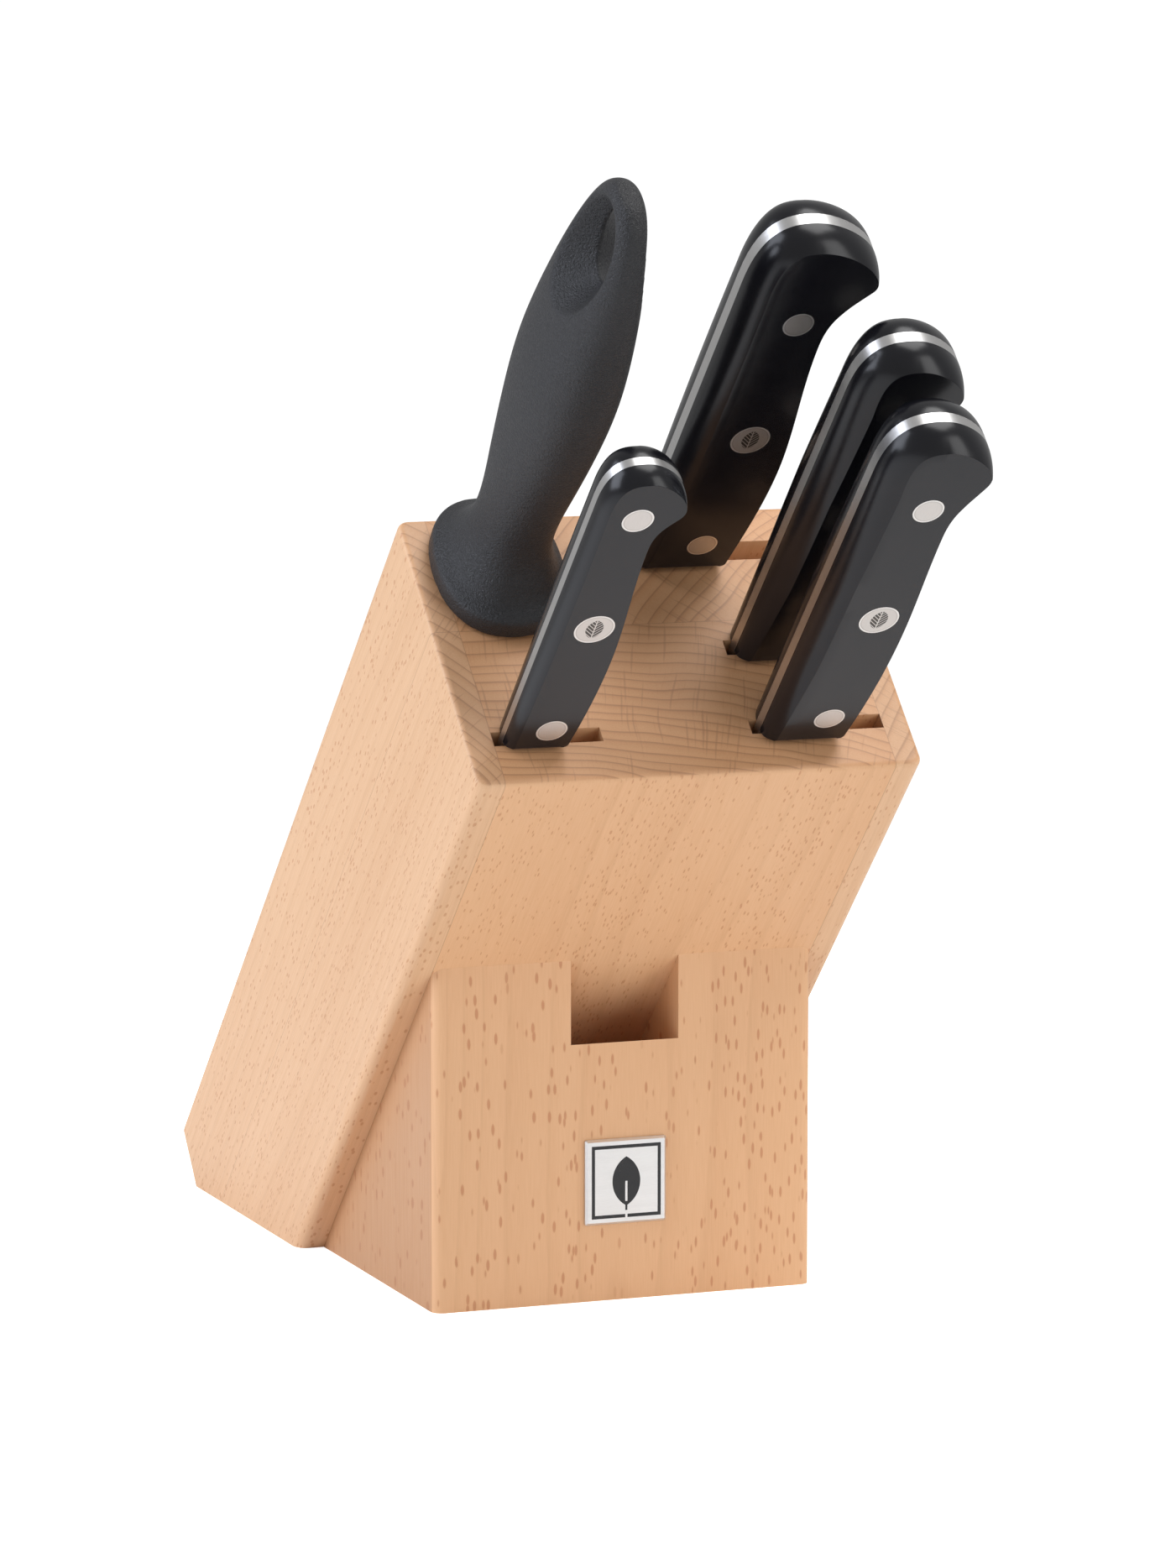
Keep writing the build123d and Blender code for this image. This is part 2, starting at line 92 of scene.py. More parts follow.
towards_camera = Vector((
    math.sin(VIEW_AZIMUTH) * math.cos(VIEW_ELEVATION),
    -math.cos(VIEW_AZIMUTH) * math.cos(VIEW_ELEVATION),
    math.sin(VIEW_ELEVATION),
))
camera_data = bpy.data.cameras.new("portrait_lens")
camera_data.lens = LENS
camera_data.clip_start, camera_data.clip_end = 0.05, 50
camera = bpy.data.objects.new("portrait_camera", camera_data)
camera.location = AIM + VIEW_DISTANCE * towards_camera
camera.rotation_euler = (-towards_camera).to_track_quat("-Z", "Y").to_euler()
bpy.context.scene.collection.objects.link(camera)
bpy.context.scene.camera = camera
print("camera at", [round(c, 3) for c in camera.location])

# %% [markdown]
# ## Floor and studio light
#
# The object stands on a plain pale floor. Large soft boxes do the work: a bluish one at the left
# lights the side panel and draws the long grey streaks on the black bevels, one high at the front
# right fills the top, and one low at the front right keeps the front readable.

# %% Floor and lights
FLOOR_RADIUS, FLOOR_SIDES = 1.1, 96
FLOOR_FADE = (320, 900)
FLOOR_LIFT = 0.75
SKY_SEEN, SKY_FELT = 1.05, 0.46
COOL_WHITE = (0.94, 1.0, 1.14)


def new_object(name, mesh):
    """Links a mesh as an object that sits at the origin."""
    made = bpy.data.objects.new(name, mesh)
    bpy.context.scene.collection.objects.link(made)
    return made


def add_floor():
    shape = bmesh.new()
    bmesh.ops.create_circle(shape, cap_ends=True, segments=FLOOR_SIDES, radius=FLOOR_RADIUS)
    mesh = bpy.data.meshes.new("studio_floor")
    shape.to_mesh(mesh)
    shape.free()
    floor = new_object("studio_floor", mesh)
    return floor


def soft_box(name, azimuth, elevation, distance, size, power, tint=(1, 1, 1)):
    """An area light that looks at the object from an azimuth and elevation in degrees."""
    a, e = math.radians(azimuth), math.radians(elevation)
    away = Vector((math.sin(a) * math.cos(e), -math.cos(a) * math.cos(e), math.sin(e)))
    data = bpy.data.lights.new(name, "AREA")
    data.shape, data.size, data.size_y = "RECTANGLE", size[0], size[1]
    data.energy, data.color = power, tint
    light = bpy.data.objects.new(name, data)
    light.location = AIM + distance * away
    light.rotation_euler = (-away).to_track_quat("-Z", "Y").to_euler()
    bpy.context.scene.collection.objects.link(light)
    return light


floor = add_floor()
soft_box("key_left", -92, 24, distance=1.3, size=(0.8, 1.2), power=12, tint=COOL_WHITE)
soft_box("top_right", 55, 66, distance=1.4, size=(0.9, 0.8), power=11)
soft_box("fill_right", 42, 14, distance=1.8, size=(0.9, 1.2), power=9)

# %% [markdown]
# ## A short way to write node trees
#
# Materials here are built from nodes, so that wood has grain all the way through and steel has
# brush marks. `Tree` keeps that readable: `node` adds one node and plugs in its inputs, which are
# either plain values or the outputs of earlier nodes, and the small helpers name common steps.

# %% Node helper


class Tree:
    """Adds nodes to a node tree. An input is given as a value or as another node's output."""

    def __init__(self, tree):
        self.tree = tree

    def node(self, kind, inputs=None, **settings):
        made = self.tree.nodes.new(kind)
        for name, value in settings.items():
            setattr(made, name, value)
        for key, value in (inputs or {}).items():
            if isinstance(value, bpy.types.NodeSocket):
                self.tree.links.new(value, made.inputs[key])
            else:
                made.inputs[key].default_value = value
        return made

    def math(self, operation, a, b=0.0, c=0.0):
        inputs = {0: a, 1: b, 2: c}
        return self.node("ShaderNodeMath", inputs, operation=operation).outputs[0]

    def between(self, value, low, high, to_low=0.0, to_high=1.0):
        """Carries a value from one range to another, smoothly and clamped."""
        inputs = {0: value, 1: low, 2: high, 3: to_low, 4: to_high}
        made = self.node("ShaderNodeMapRange", inputs, interpolation_type="SMOOTHSTEP")
        return made.outputs[0]

    def mix(self, factor, a, b, blend="MIX"):
        inputs = {0: factor, 6: a, 7: b}
        made = self.node("ShaderNodeMix", inputs, data_type="RGBA", blend_type=blend)
        return made.outputs[2]

    def noise(self, vector, scale, detail=2.0, roughness=0.5):
        inputs = {"Vector": vector, "Scale": scale, "Detail": detail, "Roughness": roughness}
        return self.node("ShaderNodeTexNoise", inputs).outputs[0]

    def stretched(self, vector, scale):
        """The same coordinates, each axis at its own scale."""
        inputs = {0: vector, 1: scale}
        return self.node("ShaderNodeVectorMath", inputs, operation="MULTIPLY").outputs[0]

    def object_mm(self, turn=(0, 0, 0), shift=(0, 0, 0)):
        """Object coordinates in millimetres, turned and shifted."""
        place = self.node("ShaderNodeTexCoord").outputs["Object"]
        inputs = {"Vector": place, "Location": shift, "Rotation": turn, "Scale": (1000,) * 3}
        return self.node("ShaderNodeMapping", inputs).outputs[0]

    def bump(self, height, distance, strength=1.0):
        inputs = {"Height": height, "Distance": distance, "Strength": strength}
        return self.node("ShaderNodeBump", inputs).outputs[0]


def new_material(name):
    """An empty material, its Tree, and a Principled shader wired to the output."""
    material = bpy.data.materials.new(name)
    material.use_nodes = True
    material.node_tree.nodes.clear()
    tree = Tree(material.node_tree)
    shader = tree.node("ShaderNodeBsdfPrincipled")
    tree.node("ShaderNodeOutputMaterial", {"Surface": shader.outputs[0]})
    return material, tree, shader


def plug(tree, shader, **values):
    """Sets inputs of the shader by name, with underscores for spaces."""
    for key, value in values.items():
        name = key.replace("_", " ")
        if isinstance(value, bpy.types.NodeSocket):
            tree.tree.links.new(value, shader.inputs[name])
        else:
            shader.inputs[name].default_value = value


def finish_with(piece, material):
    """Gives a piece one material."""
    piece.data.materials.clear()
    piece.data.materials.append(material)


def studio_white():
    """The floor: a pale white, lifted where it is seen directly, that fades out before its rim."""
    material, tree, shader = new_material("studio_white")
    place = tree.object_mm()
    patches = tree.noise(place, 0.004)
    colour = tree.mix(patches, (0.93, 0.93, 0.93, 1), (0.96, 0.96, 0.96, 1))
    reach = tree.node("ShaderNodeVectorMath", {0: place}, operation="LENGTH").outputs[1]
    fade = tree.between(reach, *FLOOR_FADE, 1.0, 0.0)
    seen = tree.node("ShaderNodeLightPath").outputs["Is Camera Ray"]
    lift = tree.math("MULTIPLY", seen, FLOOR_LIFT)
    plug(tree, shader, Base_Color=colour, Roughness=0.7, Alpha=fade,
         Emission_Color=(1, 1, 1, 1), Emission_Strength=lift)
    return material


def studio_sky():
    """A surround that is seen as full white and felt as a dimmer, even grey."""
    world = bpy.data.worlds.new("studio_sky")
    world.use_nodes = True
    tree = Tree(world.node_tree)
    world.node_tree.nodes.clear()
    seen = tree.node("ShaderNodeLightPath").outputs["Is Camera Ray"]
    strength = tree.math("MULTIPLY_ADD", seen, SKY_SEEN - SKY_FELT, SKY_FELT)
    inputs = {"Color": (1, 1, 1, 1), "Strength": strength}
    light = tree.node("ShaderNodeBackground", inputs).outputs[0]
    tree.node("ShaderNodeOutputWorld", {"Surface": light})
    bpy.context.scene.world = world


finish_with(floor, studio_white())
studio_sky()
bpy.context.scene.view_settings.view_transform = "Standard"
print("view transform:", bpy.context.scene.view_settings.view_transform)

# %% [markdown]
# ## Beech
#
# Beech shows three things. Growth rings curve round a pith that lies outside the board, and on the
# end grain they are fine brown lines. Rays are thin brown ribbons that run out from the pith: end
# on they are hair lines that cross the rings, on a flat-sawn face they are short dashes, and on a
# face cut nearly along them they widen into flecks. Fine fibres run along the grain. A picture of
# wood would have to be drawn anew for each face, so the pattern is made solid instead: each point
# is given its distance from the pith, its angle round it and its height along the grain, and one
# pattern in those three numbers gives every face its right look.

# %% Beech as a solid pattern
LEANING = (-LEAN, 0, 0)
UPRIGHT = (0, 0, 0)
WOOD_PALE = (0.77, 0.455, 0.245, 1)
WOOD_DARK = (0.65, 0.345, 0.165, 1)
RAY_BROWN = (0.47, 0.165, 0.06, 1)
RING_BROWN = (0.36, 0.17, 0.08, 1)
END_TINT = (0.88, 0.81, 0.76, 1)
# Painted sheen: the side panels are tinted paler and bluer to stand in for the sheen of the cool key
# light grazing them.
PANEL_SHEEN_TINT = (1.0, 1.07, 1.16, 1)
GLUE_LINE = 0.14
SWIRL = 14.0
DRIFT_SCALE = (0.018, 0.018, 0.003)
BOARD_SCALE = (0.035, 0.035, 0.006)
FIBRE_SCALE = (2.6, 2.6, 0.10)
DASH_CELL = (9.0, 0.75, 3.2)
HAIR_CELL = (24.0, 0.8, 22.0)


def round_the_pith(tree, place, pith, swirl):
    """Distance from the pith, arc length round it and height along the grain, in mm."""
    slow = tree.stretched(place, DRIFT_SCALE)
    drift = tree.node("ShaderNodeTexNoise", {"Vector": slow, "Scale": 1.0, "Detail": 2.0}).outputs[1]
    push = tree.node("ShaderNodeVectorMath", {0: drift, 1: (0.5, 0.5, 0.5)}, operation="SUBTRACT")
    sway = tree.stretched(push.outputs[0], (swirl, swirl, 0))
    bent = tree.node("ShaderNodeVectorMath", {0: place, 1: sway}, operation="ADD").outputs[0]
    from_pith = tree.node(
        "ShaderNodeVectorMath", {0: bent, 1: (pith[0], pith[1], 0)}, operation="SUBTRACT")
    parts = tree.node("ShaderNodeSeparateXYZ", {0: from_pith.outputs[0]}).outputs
    squares = tree.math("ADD", tree.math("MULTIPLY", parts[0], parts[0]),
                        tree.math("MULTIPLY", parts[1], parts[1]))
    radius = tree.math("SQRT", squares)
    angle = tree.math("ARCTAN2", parts[1], parts[0])
    arc = tree.math("MULTIPLY", angle, math.hypot(*pith))
    return radius, arc, parts[2]


def ring_lines(tree, radius, gap):
    """Growth rings: a slow darkening that ends in a thin dark line, unevenly spaced."""
    uneven = tree.noise(tree.node("ShaderNodeCombineXYZ", {0: radius}).outputs[0], 0.09, 3.0)
    count = tree.math("MULTIPLY_ADD", uneven, 3.0, tree.math("DIVIDE", radius, gap))
    share = tree.math("FRACT", count)
    rise = tree.between(share, 0.25, 0.93)
    fall = tree.between(share, 0.93, 1.0, 1.0, 0.0)
    soft = tree.math("MULTIPLY", rise, fall)
    line = tree.math("MULTIPLY", tree.between(share, 0.72, 0.92), fall)
    return soft, line


def ray_flecks(tree, radius, arc, height, cell, size, share):
    """Ray ribbons: long out from the pith, hair thin round it, a few mm tall."""
    scaled = tree.node("ShaderNodeCombineXYZ", {
        0: tree.math("DIVIDE", radius, cell[0]),
        1: tree.math("DIVIDE", arc, cell[1]),
        2: tree.math("DIVIDE", height, cell[2]),
    }).outputs[0]
    cells = tree.node("ShaderNodeTexVoronoi", {"Vector": scaled, "Scale": 1.0}, voronoi_dimensions="3D")
    chance = tree.node("ShaderNodeSeparateColor", {0: cells.outputs["Color"]}).outputs[0]
    kept = tree.between(chance, 1 - share - 0.05, 1 - share + 0.05)
    near = tree.between(cells.outputs["Distance"], size * 0.55, size, 1.0, 0.0)
    return tree.math("MULTIPLY", near, kept)


def glue_lines(tree):
    """Thin dark lines where the boards meet: at both side panels and between the core's boards."""
    parts = tree.node("ShaderNodeSeparateXYZ", {0: tree.object_mm(LEANING)}).outputs
    panel_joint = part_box("core_front")[1].x / MM
    board_joint = extent("core_front", DEPTH)[1] / MM
    from_middle = tree.math("ABSOLUTE", parts[0])
    from_panel = tree.math("ABSOLUTE", tree.math("SUBTRACT", from_middle, panel_joint))
    from_board = tree.math("ABSOLUTE", tree.math("SUBTRACT", parts[1], board_joint))
    nearest = tree.math("MINIMUM", from_panel, from_board)
    return tree.between(nearest, GLUE_LINE * 0.5, GLUE_LINE, 1.0, 0.0)


def beech(name, turn, pith, gap, seed, dash=DASH_CELL, dash_force=0.5, tint=None):
    """Beech whose grain runs along local Z after the turn, with its pith outside the board."""
    material, tree, shader = new_material(name)
    place = tree.object_mm(turn, seed)
    radius, arc, height = round_the_pith(tree, place, pith, SWIRL)
    soft, line = ring_lines(tree, radius, gap)

    facing = tree.node("ShaderNodeTexCoord").outputs["Normal"]
    turned = tree.node("ShaderNodeMapping", {"Vector": facing, "Rotation": turn}).outputs[0]
    upright = tree.math("ABSOLUTE", tree.node("ShaderNodeSeparateXYZ", {0: turned}).outputs[2])
    end_grain = tree.between(upright, 0.55, 0.9)

    flecks = ray_flecks(tree, radius, arc, height, dash, 0.32, 0.7)
    hairs = ray_flecks(tree, radius, arc, height, HAIR_CELL, 0.34, 0.75)
    fibres = tree.noise(tree.stretched(place, FIBRE_SCALE), 1.0, 3.0, 0.6)
    boards = tree.noise(tree.stretched(place, BOARD_SCALE), 1.0, 2.0)

    tone = tree.math("MULTIPLY_ADD", soft, tree.between(end_grain, 0, 1, 0.10, 0.30),
                     tree.math("MULTIPLY", boards, 0.6))
    tone = tree.math("MULTIPLY_ADD", tree.math("SUBTRACT", fibres, 0.5), 0.6, tone)
    colour = tree.mix(tree.between(tone, 0.0, 1.0), WOOD_PALE, WOOD_DARK)
    fleck_force = tree.math("MULTIPLY", flecks, tree.between(end_grain, 0, 1, dash_force, 0.06))
    colour = tree.mix(fleck_force, colour, RAY_BROWN)
    dark = tree.mix(1.0, colour, END_TINT, "MULTIPLY")
    colour = tree.mix(end_grain, colour, dark)
    ring_force = tree.math("MULTIPLY", line, tree.between(end_grain, 0, 1, 0.05, 0.50))
    colour = tree.mix(ring_force, colour, RING_BROWN)
    hair_force = tree.math("MULTIPLY", hairs, tree.between(end_grain, 0, 1, 0.0, 0.34))
    colour = tree.mix(hair_force, colour, RING_BROWN)
    colour = tree.mix(tree.math("MULTIPLY", glue_lines(tree), 0.5), colour, RING_BROWN)
    # The optional tint multiplies the colour. On the side panels it is painted sheen from the key
    # light.
    if tint:
        colour = tree.mix(1.0, colour, tint, "MULTIPLY")

    grain = tree.math("MULTIPLY_ADD", flecks, -0.6, fibres)
    rough = tree.between(fibres, 0.2, 0.8, 0.42, 0.54)
    plug(tree, shader, Base_Color=colour, Roughness=rough, Normal=tree.bump(grain, 0.00005, 0.6))
    return material


WOODS = {
    "side_panel_left": ("beech_left_panel", LEANING, (-190, -60), 3.4, (31, 7, 3)),
    "side_panel_right": ("beech_right_panel", LEANING, (170, 40), 3.2, (5, 71, 13)),
    "core_front": ("beech_front_board", LEANING, (-60, -260), 3.0, (11, 23, 37)),
    "core_rear": ("beech_rear_board", LEANING, (240, -60), 3.3, (3, 91, 41)),
    "stand_wedge": ("beech_stand", UPRIGHT, (70, 190), 3.2, (17, 29, 53), (10.0, 1.6, 6.0), 0.6),
    "stand_dowels": ("beech_dowel", LEANING, (40, 80), 2.6, (61, 3, 11)),
}
for node, recipe in WOODS.items():
    # The side panels get the painted sheen tint.
    tint = PANEL_SHEEN_TINT if node.startswith("side_panel") else None
    finish_with(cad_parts[node], beech(*recipe, tint=tint))
print("beech on", sorted(WOODS))

# %% [markdown]
# ## Resin, moulded plastic and steel
#
# The handle scales are black resin, sanded and polished to a satin: almost no colour of their own,
# so they are all reflection. The steel's grip is moulded with a fine leather-like grain that
# scatters the light. Tangs and blades are brushed across, and the rod along its length.

# %% Black resin, moulded grip, steel and enamel
BLACK_RESIN, RESIN_HAZE = (0.0035, 0.0035, 0.0055, 1), (0.006, 0.006, 0.008, 1)
RESIN_IOR = 1.42
GRIP_DARK, GRIP_PALE = (0.010, 0.010, 0.011, 1), (0.018, 0.018, 0.021, 1)
SCRATCH_SHADE = 0.62
ENAMEL_DARK, ENAMEL_PALE = (0.008, 0.008, 0.009, 1), (0.014, 0.014, 0.015, 1)


def resin():
    material, tree, shader = new_material("black_resin")
    place = tree.object_mm(LEANING)
    haze = tree.noise(place, 0.15, 3.0)
    scuffs = tree.noise(tree.stretched(place, (3.0, 3.0, 0.5)), 1.0, 3.0, 0.7)
    colour = tree.mix(haze, BLACK_RESIN, RESIN_HAZE)
    rough = tree.math("MULTIPLY_ADD", haze, 0.08, 0.20)
    plug(tree, shader, Base_Color=colour, Roughness=rough, IOR=RESIN_IOR,
         Normal=tree.bump(scuffs, 0.000012, 0.5))
    return material


def moulded_grip():
    material, tree, shader = new_material("moulded_grip")
    place = tree.object_mm(LEANING)
    coarse = tree.noise(place, 1.5, 2.0, 0.6)
    fine = tree.noise(place, 3.6, 1.0, 0.5)
    grain = tree.math("MULTIPLY_ADD", fine, 0.5, coarse)
    colour = tree.mix(coarse, GRIP_DARK, GRIP_PALE)
    rough = tree.between(coarse, 0.3, 0.7, 0.36, 0.52)
    plug(tree, shader, Base_Color=colour, Roughness=rough, Normal=tree.bump(grain, 0.0004, 1.0))
    return material


def brushed_steel(name, tint, rough, streaks, depth=0.00001):
    """Steel with fine parallel scratches; streaks sets how fast they change along each axis."""
    material, tree, shader = new_material(name)
    place = tree.object_mm(LEANING)
    lines = tree.noise(tree.stretched(place, streaks), 1.0, 4.0, 0.7)
    broad = tree.noise(tree.stretched(place, [s * 0.12 for s in streaks]), 1.0, 2.0)
    shade = tree.math("MULTIPLY_ADD", lines, 0.35, tree.math("MULTIPLY", broad, 0.25))
    dark = tuple(c * SCRATCH_SHADE for c in tint[:3]) + (1,)
    colour = tree.mix(shade, tint, dark)
    roughness = tree.math("MULTIPLY_ADD", lines, 0.14, rough - 0.07)
    plug(tree, shader, Base_Color=colour, Metallic=1.0, Roughness=roughness,
         Normal=tree.bump(lines, depth, 0.6))
    return material


def enamel():
    material, tree, shader = new_material("black_enamel")
    cloud = tree.noise(tree.object_mm(), 0.6, 2.0)
    colour = tree.mix(cloud, ENAMEL_DARK, ENAMEL_PALE)
    rough = tree.math("MULTIPLY_ADD", cloud, 0.08, 0.22)
    plug(tree, shader, Base_Color=colour, Roughness=rough)
    return material


RESIN = resin()
GRIP = moulded_grip()
ENAMEL = enamel()
BLADE_STEEL = brushed_steel("blade_steel", (0.66, 0.65, 0.64, 1), 0.30, (0.12, 0.3, 3.2))
ROD_STEEL = brushed_steel("rod_steel", (0.58, 0.58, 0.59, 1), 0.28, (8.0, 8.0, 0.2))
BADGE_METAL = brushed_steel("badge_metal", (0.83, 0.82, 0.80, 1), 0.36, (0.5, 5.0, 5.0))
print("finishes:", len(bpy.data.materials))

# %% [markdown]
# ## Knives: one outline for scale, tang and blade
#
# A full-tang handle is a sandwich: two scales and the tang between them share one outline. It has
# a straight spine, a rounded butt, a hook that stops the hand, a neck and a belly. The outline
# is written once, from each knife's few sizes, in u (from the spine towards the edge) and w (up
# the handle), both in millimetres.

# %% Handle sizes
HANDLE_SIZES = {
    "paring": dict(
        peak=9.3, shoulder_drop=13.0, tip_drop=11.9, hook_slope=48.0, neck=15.8, neck_height=79.0,
        belly=18.0, belly_height=42.0, front=16.3, scale=(4.0, 5.3, 5.1),
        inset=dict(front=1.6, middle=1.9, shoulder=1.9, peak=2.0, tip=0.7)),
    "carving": dict(
        peak=12.6, shoulder_drop=17.5, tip_drop=13.4, hook_slope=60.0, neck=21.6, neck_height=84.0,
        belly=23.0, belly_height=50.0, front=21.4, scale=(5.0, 8.0, 7.2),
        inset=dict(front=2.4, middle=3.9, shoulder=5.2, peak=3.5, tip=1.2)),
    "chef": dict(
        peak=13.2, shoulder_drop=21.0, tip_drop=15.0, hook_slope=46.0, neck=23.2, neck_height=90.0,
        belly=26.8, belly_height=44.0, front=24.4, scale=(5.0, 8.0, 7.2),
        inset=dict(front=2.4, middle=4.0, shoulder=4.3, peak=3.2, tip=1.3)),
}
HANDLE_SIZES["bread"] = HANDLE_SIZES["carving"]
FRONT_CORNER = 2.6
HOOK_ROUND = 1.8
SHOULDER_FULLNESS, BUTT_FULLNESS = 0.7, 0.44
HOOK_RUN, NECK_RUN = 0.38, 0.5


class Knife:
    """A knife's sizes in mm, with its place and its plain sizes read from the frame."""

    def __init__(self, name):
        self.name = name
        near, steel = f"{name}_scale_near", f"{name}_blade"
        low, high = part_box(near)
        self.spine = low.x
        self.reach = (high.x - low.x) / MM
        self.foot = extent(near, AXIS)[0]
        self.length = (extent(near, AXIS)[1] - self.foot) / MM
        back, front = extent(steel, DEPTH)
        self.row = (back + front) / 2
        self.tang = (front - back) / MM
        self.tip = (self.foot - extent(steel, AXIS)[0]) / MM
        for size, value in HANDLE_SIZES[name].items():
            setattr(self, size, value)

    def place(self, u, w, t):
        """A point from u, w and t, the distance from the tang's middle towards the front."""
        across = ACROSS * (self.spine + u * MM)
        return across + AXIS * (self.foot + w * MM) + DEPTH * (self.row - t * MM)

    def thickness(self, w):
        """Scale thickness at a height: thin at the blade end, full in the middle."""
        front, middle, butt = self.scale
        s = np.clip(w / self.length, 0, 1)
        return front * (1 - s) * (1 - 2 * s) + middle * 4 * s * (1 - s) + butt * s * (2 * s - 1)


KNIVES = [Knife(name) for name in HANDLE_SIZES]
for knife in KNIVES:
    print(knife.name, "handle", round(knife.length, 1), "x", round(knife.reach, 1),
          "tang", round(knife.tang, 2), "blade", round(knife.tip, 1))

# %% [markdown]
# The spine is a line, the butt two curves that meet at its highest point, and the hook a small
# round with a straight underside that eases into the neck. Every stretch also says how far the
# flat face is set in from the outline there, and how far the bevel has turned when it meets that
# face: 50 degrees on the spine and butt, which leaves a crisp arris, and nearly 90 on the belly,
# which is just eased. The hook's nose lies between the two.

# %% The outline
CRISP, NOSE_TURN, EASED = 50.0, 58.0, 84.0
BELLY_INSET, FRONT_INSET = 0.7, 2.2
NECK_SLOPE, BELLY_SLOPE = (0, -1), (-0.1, -1)
POINTS = dict(spine=44, rise=30, fall=34, nose=8, under=24, belly=40, corner=8, end=14)


def curve_through(points, slopes, count):
    """A smooth curve through points, by cubic pieces with given end slopes, as in a spline."""
    points = np.array(points, float)
    gaps = np.linalg.norm(np.diff(points, axis=0), axis=1)
    at = np.concatenate([[0], np.cumsum(gaps)])
    size = len(points)
    matrix, right = np.zeros((size, size)), np.zeros(points.shape)
    matrix[0, 0] = matrix[-1, -1] = 1
    right[0], right[-1] = slopes
    for i in range(1, size - 1):
        before, after = gaps[i - 1], gaps[i]
        matrix[i, i - 1:i + 2] = after, 2 * (before + after), before
        right[i] = 3 * ((points[i] - points[i - 1]) * after / before
                        + (points[i + 1] - points[i]) * before / after)
    tangents = np.linalg.solve(matrix, right)
    made = []
    for value in np.linspace(0, at[-1], count):
        i = min(np.searchsorted(at, value, side="right") - 1, size - 2)
        h = gaps[i]
        s = (value - at[i]) / h
        made.append(
            points[i] * (1 + 2 * s) * (1 - s) ** 2 + tangents[i] * h * s * (1 - s) ** 2
            + points[i + 1] * s * s * (3 - 2 * s) + tangents[i + 1] * h * s * s * (s - 1)
        )
    return np.array(made)


def bezier(corners, count):
    """Points along a Bezier curve of any degree, without its last point."""
    t = np.linspace(0, 1, count + 1)[:-1, None]
    points = [np.array(corner, float)[None] + 0 * t for corner in corners]
    while len(points) > 1:
        points = [a * (1 - t) + b * t for a, b in zip(points, points[1:])]
    return points[0]


def rows_along(points, insets, turns):
    """Outline rows: each point with its face inset and bevel turn, changing evenly along it."""
    s = np.linspace(0, 1, len(points))
    inset = np.interp(s, np.linspace(0, 1, len(insets)), insets)
    turn = np.interp(s, (0, 1), turns)
    return np.column_stack([points, inset, turn])


def handle_outline(knife):
    """Outline rows from the front of the spine round the butt, hook and belly to the front end."""
    top, reach, inset = knife.length, knife.reach, knife.inset
    shoulder, tip = top - knife.shoulder_drop, top - knife.tip_drop
    slope = math.radians(knife.hook_slope)
    inwards = np.array((-math.cos(slope), -math.sin(slope)))
    corner = np.array((reach, tip - HOOK_ROUND))
    under_tip = corner + inwards * HOOK_ROUND
    neck = np.array((knife.neck, knife.neck_height))
    underside = np.linalg.norm(under_tip - neck)

    climb = np.linspace(0, shoulder, POINTS["spine"], endpoint=False)
    spine = np.column_stack([np.zeros(len(climb)), climb])
    rise = bezier([(0, shoulder), (0, shoulder + SHOULDER_FULLNESS * knife.shoulder_drop),
                   ((1 - SHOULDER_FULLNESS) * knife.peak, top), (knife.peak, top)], POINTS["rise"])
    fall = bezier([(knife.peak, top), (knife.peak + BUTT_FULLNESS * (reach - knife.peak), top),
                   (reach, tip + BUTT_FULLNESS * knife.tip_drop), (reach, tip)],
                  POINTS["fall"])
    nose = bezier([(reach, tip), corner, under_tip], POINTS["nose"])
    under = bezier([under_tip, under_tip + inwards * HOOK_RUN * underside,
                    neck + (0, NECK_RUN * underside), neck], POINTS["under"])
    belly = curve_through(
        [neck, (knife.belly, knife.belly_height), (knife.front, FRONT_CORNER)],
        [NECK_SLOPE, BELLY_SLOPE], POINTS["belly"])[:-1]
    angles = np.linspace(0, math.pi / 2, POINTS["corner"])
    front = np.column_stack([knife.front - FRONT_CORNER * (1 - np.cos(angles)),
                             FRONT_CORNER * (1 - np.sin(angles))])
    back = np.linspace(knife.front - FRONT_CORNER, 0, POINTS["end"])[1:-1]
    end = np.column_stack([back, np.zeros(len(back))])
    halfway = (inset["peak"] + inset["tip"]) / 2
    return np.vstack([
        rows_along(spine, (inset["front"], inset["middle"], inset["middle"], inset["shoulder"]),
                   (CRISP, CRISP)),
        rows_along(rise, (inset["shoulder"], inset["peak"]), (CRISP, CRISP)),
        rows_along(fall, (inset["peak"], halfway, inset["tip"]), (CRISP, CRISP)),
        rows_along(nose, (inset["tip"], inset["tip"]), (CRISP, NOSE_TURN)),
        rows_along(under, (inset["tip"], BELLY_INSET, BELLY_INSET), (NOSE_TURN, EASED)),
        rows_along(belly, (BELLY_INSET, BELLY_INSET), (EASED, EASED)),
        rows_along(front, (BELLY_INSET, FRONT_INSET), (EASED, EASED)),
        rows_along(end, (FRONT_INSET, FRONT_INSET), (EASED, EASED)),
    ])


def inner_curve(knife, outline):
    """Where the flat face begins: each outline point moved in by its own inset."""
    points = outline[:, :2]
    along = np.roll(points, -1, axis=0) - np.roll(points, 1, axis=0)
    along /= np.linalg.norm(along, axis=1)[:, None]
    inward = np.stack([along[:, 1], -along[:, 0]], axis=1)
    moved = points + inward * outline[:, 2:3]
    front_inset = outline[-1, 2]
    on_spine = (points[:, 0] < 1e-6) & (points[:, 1] < knife.length / 2)
    on_front = points[:, 1] < 1e-6
    moved[on_spine, 0] = outline[on_spine, 2]
    moved[on_spine, 1] = np.maximum(points[on_spine, 1], front_inset)
    moved[on_front, 0] = np.maximum(points[on_front, 0], knife.inset["front"])
    moved[on_front, 1] = front_inset
    return moved


print("outline points:", len(handle_outline(KNIVES[0])))

